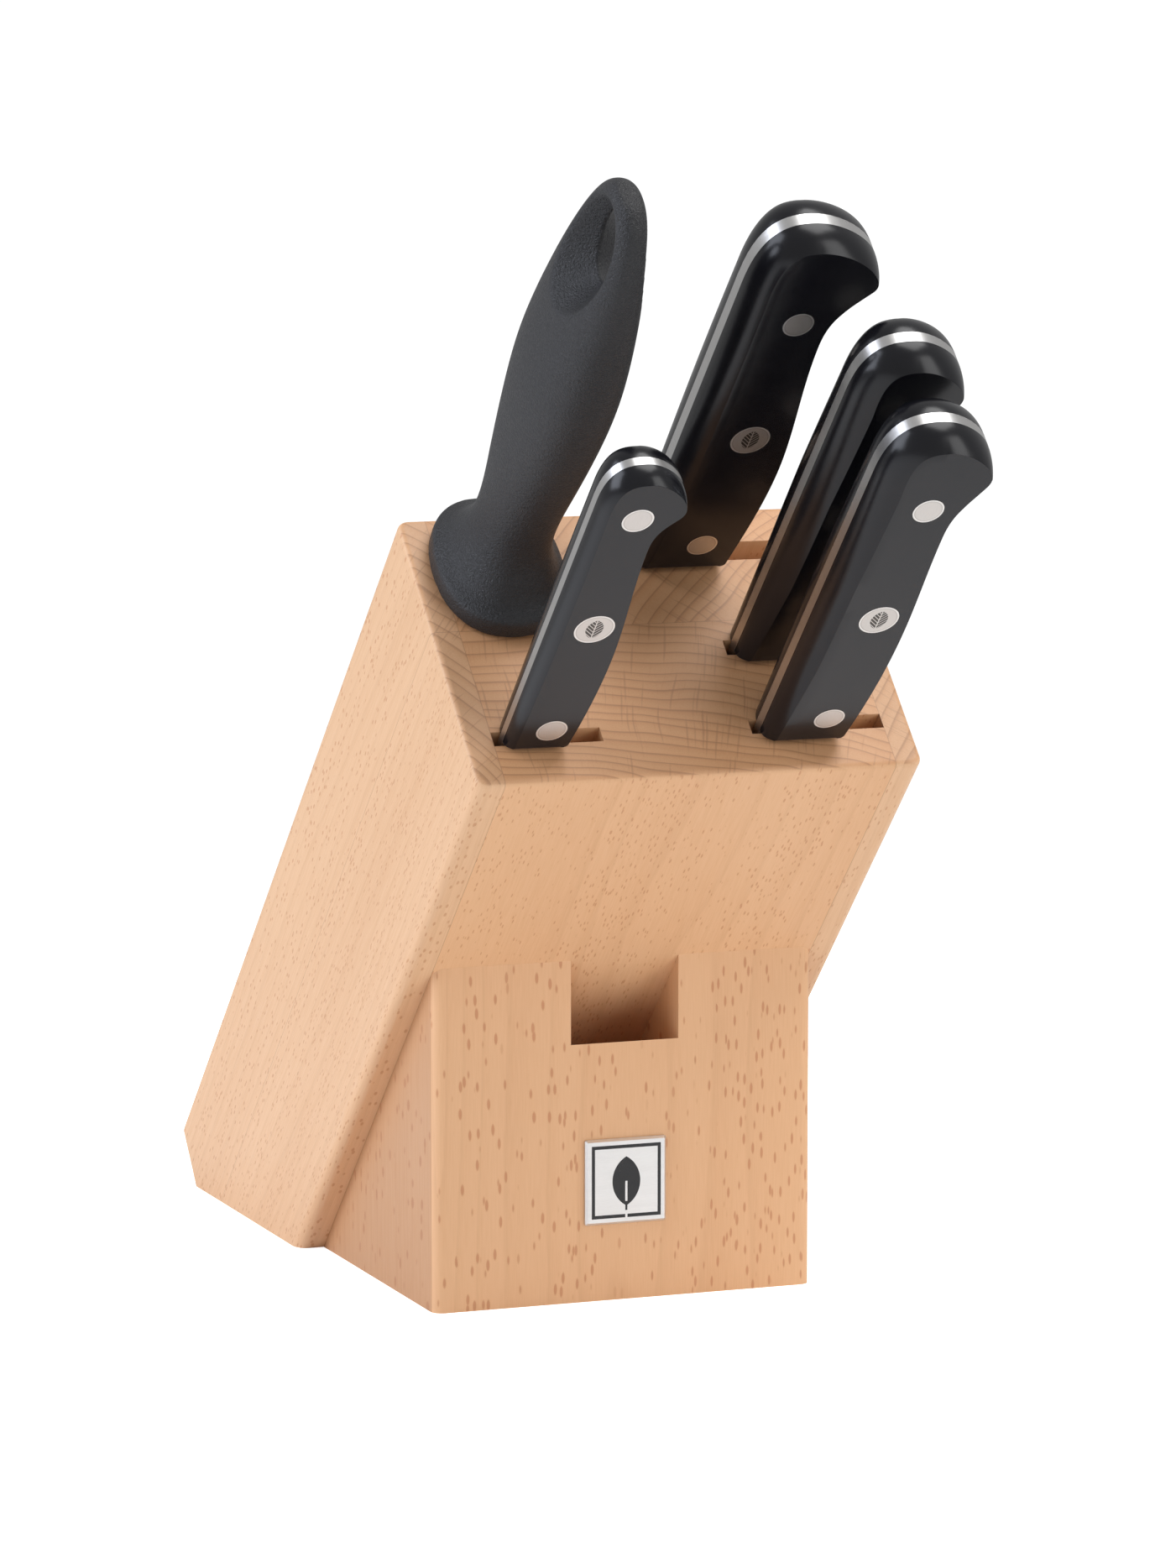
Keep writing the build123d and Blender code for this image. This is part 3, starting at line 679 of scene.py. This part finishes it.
# %% [markdown]
# ## Handle scales
#
# Each scale is a shell of rings. The first ring is the outline on the tang, the next ones climb
# the bevel, and the last is the arris. The flat face inside the arris is filled with triangles
# whose corners also follow the thickness curve, so the face swells gently towards the middle. The
# narrow extra ring next to the arris rounds it by a tenth of a millimetre, as sanding does.

# %% Scale meshes
BEVEL_STEPS = 10
ARRIS_ROUND, ARRIS_SHARE = 0.12, 0.3
ARRIS_DROP = 0.10 * ARRIS_ROUND
FACE_GRID = 3.0
FACE_CLEARANCE = 0.45 * FACE_GRID
MESH_TOLERANCE = 1e-6
SHARP_ANGLE = math.radians(17)


def inside(points, loop):
    """Which points lie inside a closed loop."""
    x, y = points[:, 0], points[:, 1]
    hit = np.zeros(len(points), bool)
    for (x0, y0), (x1, y1) in zip(loop, np.roll(loop, -1, axis=0)):
        crosses = (y0 > y) != (y1 > y)
        if y0 != y1:
            hit ^= crosses & (x < (x1 - x0) * (y - y0) / (y1 - y0) + x0)
    return hit


def fill_face(loop):
    """Grid points inside a loop, and triangles over loop and grid together."""
    low, high = loop.min(axis=0), loop.max(axis=0)
    us = np.arange(low[0] + FACE_GRID / 2, high[0], FACE_GRID)
    ws = np.arange(low[1] + FACE_GRID / 2, high[1], FACE_GRID)
    grid = np.array([(u, w) for w in ws for u in us])
    clear = np.linalg.norm(grid[:, None] - loop[None], axis=2).min(axis=1) > FACE_CLEARANCE
    grid = grid[inside(grid, loop) & clear]
    points = [Vector(p) for p in np.vstack([loop, grid])]
    edges = [(i, (i + 1) % len(loop)) for i in range(len(loop))]
    made = delaunay_2d_cdt(points, edges, [], 1, MESH_TOLERANCE)
    source = [originals[0] for originals in made[3]]
    return grid, [[source[i] for i in triangle] for triangle in made[2]]


def scale_rings(knife, outline, inner):
    """The bevel's rings as (u, w, t above the tang), from the tang to the face."""
    turn = np.radians(outline[:, 3])[:, None]
    full = knife.thickness(inner[:, 1])[:, None]
    rings = []
    for step in range(BEVEL_STEPS + 1):
        a = turn * step / BEVEL_STEPS
        share = (1 - np.cos(a)) / (1 - np.cos(turn))
        height = np.sin(a) / np.sin(turn)
        rings.append(np.hstack([outline[:, :2] * (1 - share) + inner * share, full * height]))
    span = np.linalg.norm(inner - outline[:, :2], axis=1)[:, None]
    back = np.clip(ARRIS_ROUND / np.maximum(span, MESH_TOLERANCE), 0, ARRIS_SHARE)
    last = rings.pop()
    rings.append(last * (1 - back) + rings[-1] * back)
    rings.append(np.hstack([last[:, :2], last[:, 2:] - ARRIS_DROP]))
    return rings


def build_scale(knife, side):
    """A scale shell; side +1 is the one in front of the tang, -1 the one behind it."""
    outline = handle_outline(knife)
    inner = inner_curve(knife, outline)
    shape = bmesh.new()

    def corner(point):
        t = side * (knife.tang / 2 + point[2])
        return shape.verts.new(knife.place(point[0], point[1], t))

    loops = [[corner(p) for p in ring] for ring in scale_rings(knife, outline, inner)]
    grid, triangles = fill_face(inner)
    face = loops[-1] + [corner((*p, h)) for p, h in zip(grid, knife.thickness(grid[:, 1]))]
    count = len(inner)
    for below, above in zip(loops, loops[1:]):
        for i in range(count):
            j = (i + 1) % count
            shape.faces.new((below[i], below[j], above[j], above[i]))
    for triangle in triangles:
        shape.faces.new([face[i] for i in triangle])
    shape.faces.new(loops[0])
    bmesh.ops.recalc_face_normals(shape, faces=shape.faces)
    mesh = bpy.data.meshes.new(f"{knife.name}_scale")
    shape.to_mesh(mesh)
    shape.free()
    mesh.polygons.foreach_set("use_smooth", [True] * len(mesh.polygons))
    mesh.set_sharp_from_angle(angle=SHARP_ANGLE)
    return mesh


for knife in KNIVES:
    for side, where in ((1, "near"), (-1, "far")):
        node = f"{knife.name}_scale_{where}"
        piece = new_object(f"{knife.name}_resin_{where}", build_scale(knife, side))
        finish_with(piece, RESIN)
        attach(piece, f"{knife.name}_knife")
        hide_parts(node)

# %% [markdown]
# ## Rivets with Geometry Nodes
#
# Every knife has three rivets, seen from both sides. They are one small node group: it puts a
# cylinder on each point of a carrier mesh, turned and scaled by what the point says, with a
# slightly wider dark ring behind it for the line between metal and resin. The group's inputs are
# named, and they are set before the object is first worked out. The place on the cap is kept as an
# attribute, which lets the material draw a bright rim, and a small leaf on the middle rivets.

# %% The rivet group
RIVET_PROUD = 0.05
RING_WIDTH = 0.16
RIM_WIDTH = 0.5
PIN_SIDES = 64
LEAF_RADIUS, LEAF_OFFSET, LEAF_EDGE = 3.9, 1.6, 0.12
VEIN_GAP, VEIN_EDGE, RIB_EDGE = 1.15, (0.08, 0.16), (0.10, 0.2)
RIM_METAL, CAP_METAL = (0.80, 0.78, 0.75, 1), (0.62, 0.59, 0.56, 1)
BRUSHED_METAL, GROOVE_METAL = (0.50, 0.47, 0.44, 1), (0.30, 0.28, 0.26, 1)
LEAF_BROWN = (0.05, 0.045, 0.04, 1)
LINE_DARK, LINE_PALE = (0.004, 0.004, 0.004, 1), (0.010, 0.009, 0.009, 1)


def rivet_metal():
    material, tree, shader = new_material("rivet_metal")
    cap = tree.node("ShaderNodeAttribute", attribute_name="cap").outputs["Vector"]
    size = tree.node("ShaderNodeAttribute", attribute_name="radius").outputs["Fac"]
    marked = tree.node("ShaderNodeAttribute", attribute_name="marked").outputs["Fac"]
    flat = tree.node("ShaderNodeVectorMath", {0: cap, 1: (1, 1, 0)}, operation="MULTIPLY").outputs[0]
    on_cap = tree.node("ShaderNodeVectorMath", {0: flat, "Scale": size}, operation="SCALE").outputs[0]
    from_middle = tree.node("ShaderNodeVectorMath", {0: on_cap}, operation="LENGTH").outputs[1]
    from_rim = tree.math("SUBTRACT", size, from_middle)
    centre = tree.between(from_rim, RIM_WIDTH * 0.7, RIM_WIDTH)
    beyond = tree.between(from_rim, RIM_WIDTH, RIM_WIDTH * 1.6, 1.0, 0.0)
    groove = tree.math("MULTIPLY", centre, beyond)
    sides = []
    for side in (-1, 1):
        shifted = tree.node("ShaderNodeVectorMath", {0: on_cap, 1: (side * LEAF_OFFSET, 0, 0)},
                            operation="ADD").outputs[0]
        reach = tree.node("ShaderNodeVectorMath", {0: shifted}, operation="LENGTH").outputs[1]
        sides.append(tree.math("SUBTRACT", LEAF_RADIUS, reach))
    depth_in_leaf = tree.math("MINIMUM", *sides)
    leaf = tree.between(depth_in_leaf, 0.0, LEAF_EDGE)
    leaf_x, leaf_y, _ = tree.node("ShaderNodeSeparateXYZ", {0: on_cap}).outputs
    rib = tree.math("ABSOLUTE", leaf_x)
    climb = tree.math("DIVIDE", tree.math("SUBTRACT", leaf_y, rib), VEIN_GAP)
    vein = tree.between(tree.math("PINGPONG", climb, 0.5), *VEIN_EDGE)
    leaf = tree.math("MULTIPLY", leaf, tree.math("MULTIPLY", vein, tree.between(rib, *RIB_EDGE)))
    leaf = tree.math("MULTIPLY", leaf, marked)
    brushed = tree.noise(tree.stretched(tree.object_mm(LEANING), (5.0, 5.0, 0.5)), 1.0, 3.0)
    colour = tree.mix(centre, RIM_METAL, CAP_METAL)
    colour = tree.mix(tree.math("MULTIPLY", brushed, 0.3), colour, BRUSHED_METAL)
    colour = tree.mix(tree.math("MULTIPLY", groove, 0.4), colour, GROOVE_METAL)
    colour = tree.mix(tree.math("MULTIPLY", leaf, 0.92), colour, LEAF_BROWN)
    rough = tree.math("MULTIPLY_ADD", brushed, 0.15, 0.30)
    plug(tree, shader, Base_Color=colour, Metallic=1.0, Roughness=rough)
    return material


def dark_ring():
    material, tree, shader = new_material("rivet_line")
    cloud = tree.noise(tree.object_mm(), 1.2)
    colour = tree.mix(cloud, LINE_DARK, LINE_PALE)
    plug(tree, shader, Base_Color=colour, Roughness=0.6)
    return material


def rivet_group():
    """Capped pins on every point, and the wider dark ring behind each."""
    group = bpy.data.node_groups.new("rivets", "GeometryNodeTree")
    face = group.interface
    face.new_socket("Points", in_out="INPUT", socket_type="NodeSocketGeometry")
    for name, value in (("Ring Width", RING_WIDTH), ("Proud", RIVET_PROUD), ("Sides", PIN_SIDES)):
        kind = "NodeSocketInt" if name == "Sides" else "NodeSocketFloat"
        face.new_socket(name, in_out="INPUT", socket_type=kind).default_value = value
    face.new_socket("Metal", in_out="INPUT", socket_type="NodeSocketMaterial")
    face.new_socket("Line", in_out="INPUT", socket_type="NodeSocketMaterial")
    face.new_socket("Rivets", in_out="OUTPUT", socket_type="NodeSocketGeometry")
    tree = Tree(group)
    given = tree.node("NodeGroupInput").outputs

    def named(name, kind):
        reader = "GeometryNodeInputNamedAttribute"
        return tree.node(reader, {"Name": name}, data_type=kind).outputs[0]

    radius, length = named("radius", "FLOAT"), named("length", "FLOAT")
    turn = tree.node("FunctionNodeEulerToRotation", {0: named("turn", "FLOAT_VECTOR")}).outputs[0]
    unit = tree.node("GeometryNodeMeshCylinder", {
        "Vertices": given["Sides"], "Radius": 1.0, "Depth": 1.0}).outputs[0]
    unit = tree.node("GeometryNodeTransform", {
        "Geometry": unit, "Translation": (0, 0, -0.5)}).outputs[0]
    unit = tree.node("GeometryNodeStoreNamedAttribute", {
        "Geometry": unit, "Name": "cap", "Value": tree.node("GeometryNodeInputPosition").outputs[0],
    }, data_type="FLOAT_VECTOR", domain="POINT").outputs[0]
    layers = []
    kinds = ((0.0, given["Proud"], "Metal"), (given["Ring Width"], 0.0, "Line"))
    for wider, higher, material in kinds:
        across = tree.math("MULTIPLY", tree.math("ADD", radius, wider), MM)
        along = tree.math("MULTIPLY", tree.math("ADD", length, higher), MM)
        size = tree.node("ShaderNodeCombineXYZ", {0: across, 1: across, 2: along}).outputs[0]
        pins = tree.node("GeometryNodeInstanceOnPoints", {
            "Points": given["Points"], "Instance": unit, "Rotation": turn, "Scale": size}).outputs[0]
        lift = tree.node("ShaderNodeCombineXYZ", {2: tree.math("MULTIPLY", higher, MM)}).outputs[0]
        pins = tree.node("GeometryNodeTranslateInstances", {
            "Instances": pins, "Translation": lift}).outputs[0]
        real = tree.node("GeometryNodeRealizeInstances", {0: pins}).outputs[0]
        layers.append(tree.node("GeometryNodeSetMaterial", {
            "Geometry": real, "Material": given[material]}).outputs[0])
    joined = tree.node("GeometryNodeJoinGeometry")
    for layer in reversed(layers):
        group.links.new(layer, joined.inputs[0])
    tree.node("NodeGroupOutput", {"Rivets": joined.outputs[0]})
    return group


RIVET_METAL, RIVET_LINE = rivet_metal(), dark_ring()
RIVET_GROUP = rivet_group()
print("rivet group nodes:", len(RIVET_GROUP.nodes))

# %% [markdown]
# The carrier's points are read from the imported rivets, so they sit where the model has them. A
# node holds either one rivet or two, which its length along the handle tells. A point lies on the
# scale's face, and its turn follows the face's gentle swell.

# %% Rivet pieces


def rivet_centres(knife, node):
    """(w, u, radius) of each rivet in a CAD node, from its vertices' places."""
    u = (sum(v.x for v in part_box(node)) / 2 - knife.spine) / MM
    radius = (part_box(node)[1].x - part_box(node)[0].x) / MM / 2
    bottom, top = extent(node, AXIS)
    low = (bottom - knife.foot) / MM + radius
    high = (top - knife.foot) / MM - radius
    places = (low, high) if high - low > radius else ((low + high) / 2,)
    return [(w, u, radius) for w in places]


def rivet_carrier(knife, node, marked):
    """A mesh of loose points, each with its turn, radius and length."""
    places, turns, radii, lengths = [], [], [], []
    for w, u, radius in rivet_centres(knife, node):
        swell = float(knife.thickness(w + 0.5) - knife.thickness(w - 0.5))
        reach = knife.tang / 2 + float(knife.thickness(w))
        for side in (1, -1):
            out = (-side * DEPTH - swell * AXIS).normalized()
            up = (AXIS - out * AXIS.dot(out)).normalized()
            frame_of_cap = Matrix((up.cross(out), up, out)).transposed()
            places.append(knife.place(u, w, side * reach))
            turns.append(frame_of_cap.to_euler())
            radii.append(radius)
            lengths.append(reach)
    mesh = bpy.data.meshes.new(f"{node}_points")
    mesh.from_pydata(places, [], [])
    mesh.attributes.new("turn", "FLOAT_VECTOR", "POINT").data.foreach_set(
        "vector", np.array([t[:] for t in turns], np.float32).ravel())
    for name, values in (("radius", radii), ("length", lengths), ("marked", [marked] * len(radii))):
        mesh.attributes.new(name, "FLOAT", "POINT").data.foreach_set("value", values)
    return mesh


def work_out(carrier, name):
    """The plain mesh that an object's modifiers make; the carrier is removed."""
    graph = bpy.context.evaluated_depsgraph_get()
    mesh = bpy.data.meshes.new_from_object(carrier.evaluated_get(graph))
    mesh.name = name
    bpy.data.objects.remove(carrier)
    return mesh


def build_rivets(knife, node, marked):
    carrier = bpy.data.objects.new(f"{node}_carrier", rivet_carrier(knife, node, marked))
    nodes = carrier.modifiers.new("rivets", "NODES")
    nodes.node_group = RIVET_GROUP
    values = {"Ring Width": RING_WIDTH, "Proud": RIVET_PROUD, "Sides": PIN_SIDES,
              "Metal": RIVET_METAL, "Line": RIVET_LINE}
    for socket in RIVET_GROUP.interface.items_tree:
        if socket.name in values:
            nodes[socket.identifier] = values[socket.name]
    bpy.context.scene.collection.objects.link(carrier)
    return work_out(carrier, f"{node}_mesh")


for knife in KNIVES:
    for kind, name, marked in (("end_rivets", "end_pins", 0.0), ("centre_rivet", "centre_pin", 1.0)):
        node = f"{knife.name}_{kind}"
        piece = new_object(f"{knife.name}_{name}", build_rivets(knife, node, marked))
        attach(piece, f"{knife.name}_knife")
        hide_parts(node)

# %% [markdown]
# ## The steel's grip
#
# The grip is a stack of rounded ovals: a flange with an upright rim, a waist, a swell for the palm
# and a thin end with a hanging eye. The eye is cut by a shape that is narrow in the middle and
# flares to both sides. A voxel remesh turns the cut body into even small faces, and a little
# smoothing rounds the eye's rim, as a mould would.

# %% Grip mesh
FLANGE_RINGS = [
    (0.0, 16.3, 20.3), (0.5, 16.9, 20.9), (1.2, 17.0, 21.0), (5.0, 17.0, 21.0),
    (5.9, 16.6, 20.6), (6.6, 15.7, 19.5), (8.0, 14.2, 17.4),
]
GRIP_RINGS = [
    (10.0, 13.0, 15.8), (16.0, 10.8, 12.6), (28.0, 9.8, 12.0), (40.0, 10.4, 14.0),
    (60.0, 11.5, 17.4), (80.0, 12.0, 19.0), (100.0, 10.6, 18.2), (120.0, 7.8, 15.8),
    (131.0, 5.8, 12.8), (138.5, 4.2, 8.2), (141.3, 2.4, 4.0),
]
GRIP_LEAN = 0.015
GRIP_SQUARENESS = 2.3
EYE_HEIGHT = 123.5
EYE_THROAT = (10.5, 6.6)
EYE_FLARE = (1.0, 0.85)
CUTTER_HALF, CUTTER_RINGS, CUTTER_SIDES = 14, 29, 72
OVAL_SIDES, SWELL_RINGS = 96, 90
SWELL_SLOPES = [(0.85, -0.35, -0.4), (0.25, -0.5, -0.83)]
VOXEL = 0.65
SMOOTH_FACTOR, SMOOTH_ROUNDS = 0.5, 5


def rounded_oval(half_x, half_row):
    """Points round an oval that is a little squarer than an ellipse."""
    angles = np.linspace(0, 2 * math.pi, OVAL_SIDES, endpoint=False)
    share = 2 / GRIP_SQUARENESS
    x = half_x * np.sign(np.cos(angles)) * np.abs(np.cos(angles)) ** share
    y = half_row * np.sign(np.sin(angles)) * np.abs(np.sin(angles)) ** share
    return np.column_stack([x, y])


def tube(name, rings):
    """A closed mesh through rings of points, given in mm."""
    shape = bmesh.new()
    loops = [[shape.verts.new(Vector(p) * MM) for p in ring] for ring in rings]
    count = len(loops[0])
    for below, above in zip(loops, loops[1:]):
        for i in range(count):
            j = (i + 1) % count
            shape.faces.new((below[i], below[j], above[j], above[i]))
    shape.faces.new(loops[0])
    shape.faces.new(loops[-1])
    bmesh.ops.recalc_face_normals(shape, faces=shape.faces)
    mesh = bpy.data.meshes.new(name)
    shape.to_mesh(mesh)
    shape.free()
    return mesh


def grip_body():
    smooth = curve_through(GRIP_RINGS, SWELL_SLOPES, SWELL_RINGS)
    rings = []
    for height, half_x, half_row in [*FLANGE_RINGS, *smooth]:
        oval = rounded_oval(half_x, half_row)
        rings.append(np.column_stack([oval[:, 0] - GRIP_LEAN * height, oval[:, 1],
                                      np.full(len(oval), height)]))
    return tube("grip_body", rings)


def eye_cutter():
    """The eye's hole: an oval bar that widens from its middle to both ends."""
    angles = np.linspace(0, 2 * math.pi, CUTTER_SIDES, endpoint=False)
    rings = []
    for x in np.linspace(-CUTTER_HALF, CUTTER_HALF, CUTTER_RINGS):
        long = EYE_THROAT[0] + EYE_FLARE[0] * abs(x)
        wide = EYE_THROAT[1] + EYE_FLARE[1] * abs(x)
        rings.append(np.column_stack([
            np.full(CUTTER_SIDES, x - GRIP_LEAN * EYE_HEIGHT), wide * np.cos(angles),
            EYE_HEIGHT + long * np.sin(angles)]))
    return tube("eye_cutter", rings)


def build_grip():
    carrier = new_object("grip_carrier", grip_body())
    cutter = new_object("eye_cutter", eye_cutter())
    cut = carrier.modifiers.new("eye", "BOOLEAN")
    cut.operation, cut.object, cut.solver = "DIFFERENCE", cutter, "EXACT"
    even = carrier.modifiers.new("even", "REMESH")
    even.mode, even.voxel_size, even.use_smooth_shade = "VOXEL", VOXEL * MM, True
    ease = carrier.modifiers.new("ease", "SMOOTH")
    ease.factor, ease.iterations = SMOOTH_FACTOR, SMOOTH_ROUNDS
    mesh = work_out(carrier, "grip_mesh")
    bpy.data.objects.remove(cutter)
    middle = (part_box("steel_rod")[0].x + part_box("steel_rod")[1].x) / 2
    row = sum(extent("steel_rod", DEPTH)) / 2
    foot = extent("steel_handle", AXIS)[0]
    place = Matrix((ACROSS, DEPTH, AXIS)).transposed().to_4x4()
    place.translation = ACROSS * middle + DEPTH * row + AXIS * foot
    mesh.transform(place)
    return mesh


grip = new_object("steel_grip_body", build_grip())
finish_with(grip, GRIP)
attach(grip, "sharpening_steel")
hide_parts("steel_handle")
print("grip faces:", len(grip.data.polygons))

# %% [markdown]
# ## Blades, rod and badge
#
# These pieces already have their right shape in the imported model, so they keep it and only take a
# finish. Rebuilding them would add nothing that shows.

# %% Finishes for the remaining nodes
PLAIN_FINISHES = {f"{knife.name}_blade": BLADE_STEEL for knife in KNIVES}
PLAIN_FINISHES |= {"badge_plate": BADGE_METAL, "badge_enamel": ENAMEL, "steel_rod": ROD_STEEL}
for node, finish in PLAIN_FINISHES.items():
    finish_with(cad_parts[node], finish)
print("finished as they are:", sorted(PLAIN_FINISHES))

# %% [markdown]
# ## Last step
#
# The visual model has to fill the same box as the imported one; this cell only brings the view layer up
# to date.

# %% Update the view layer
bpy.context.view_layer.update()
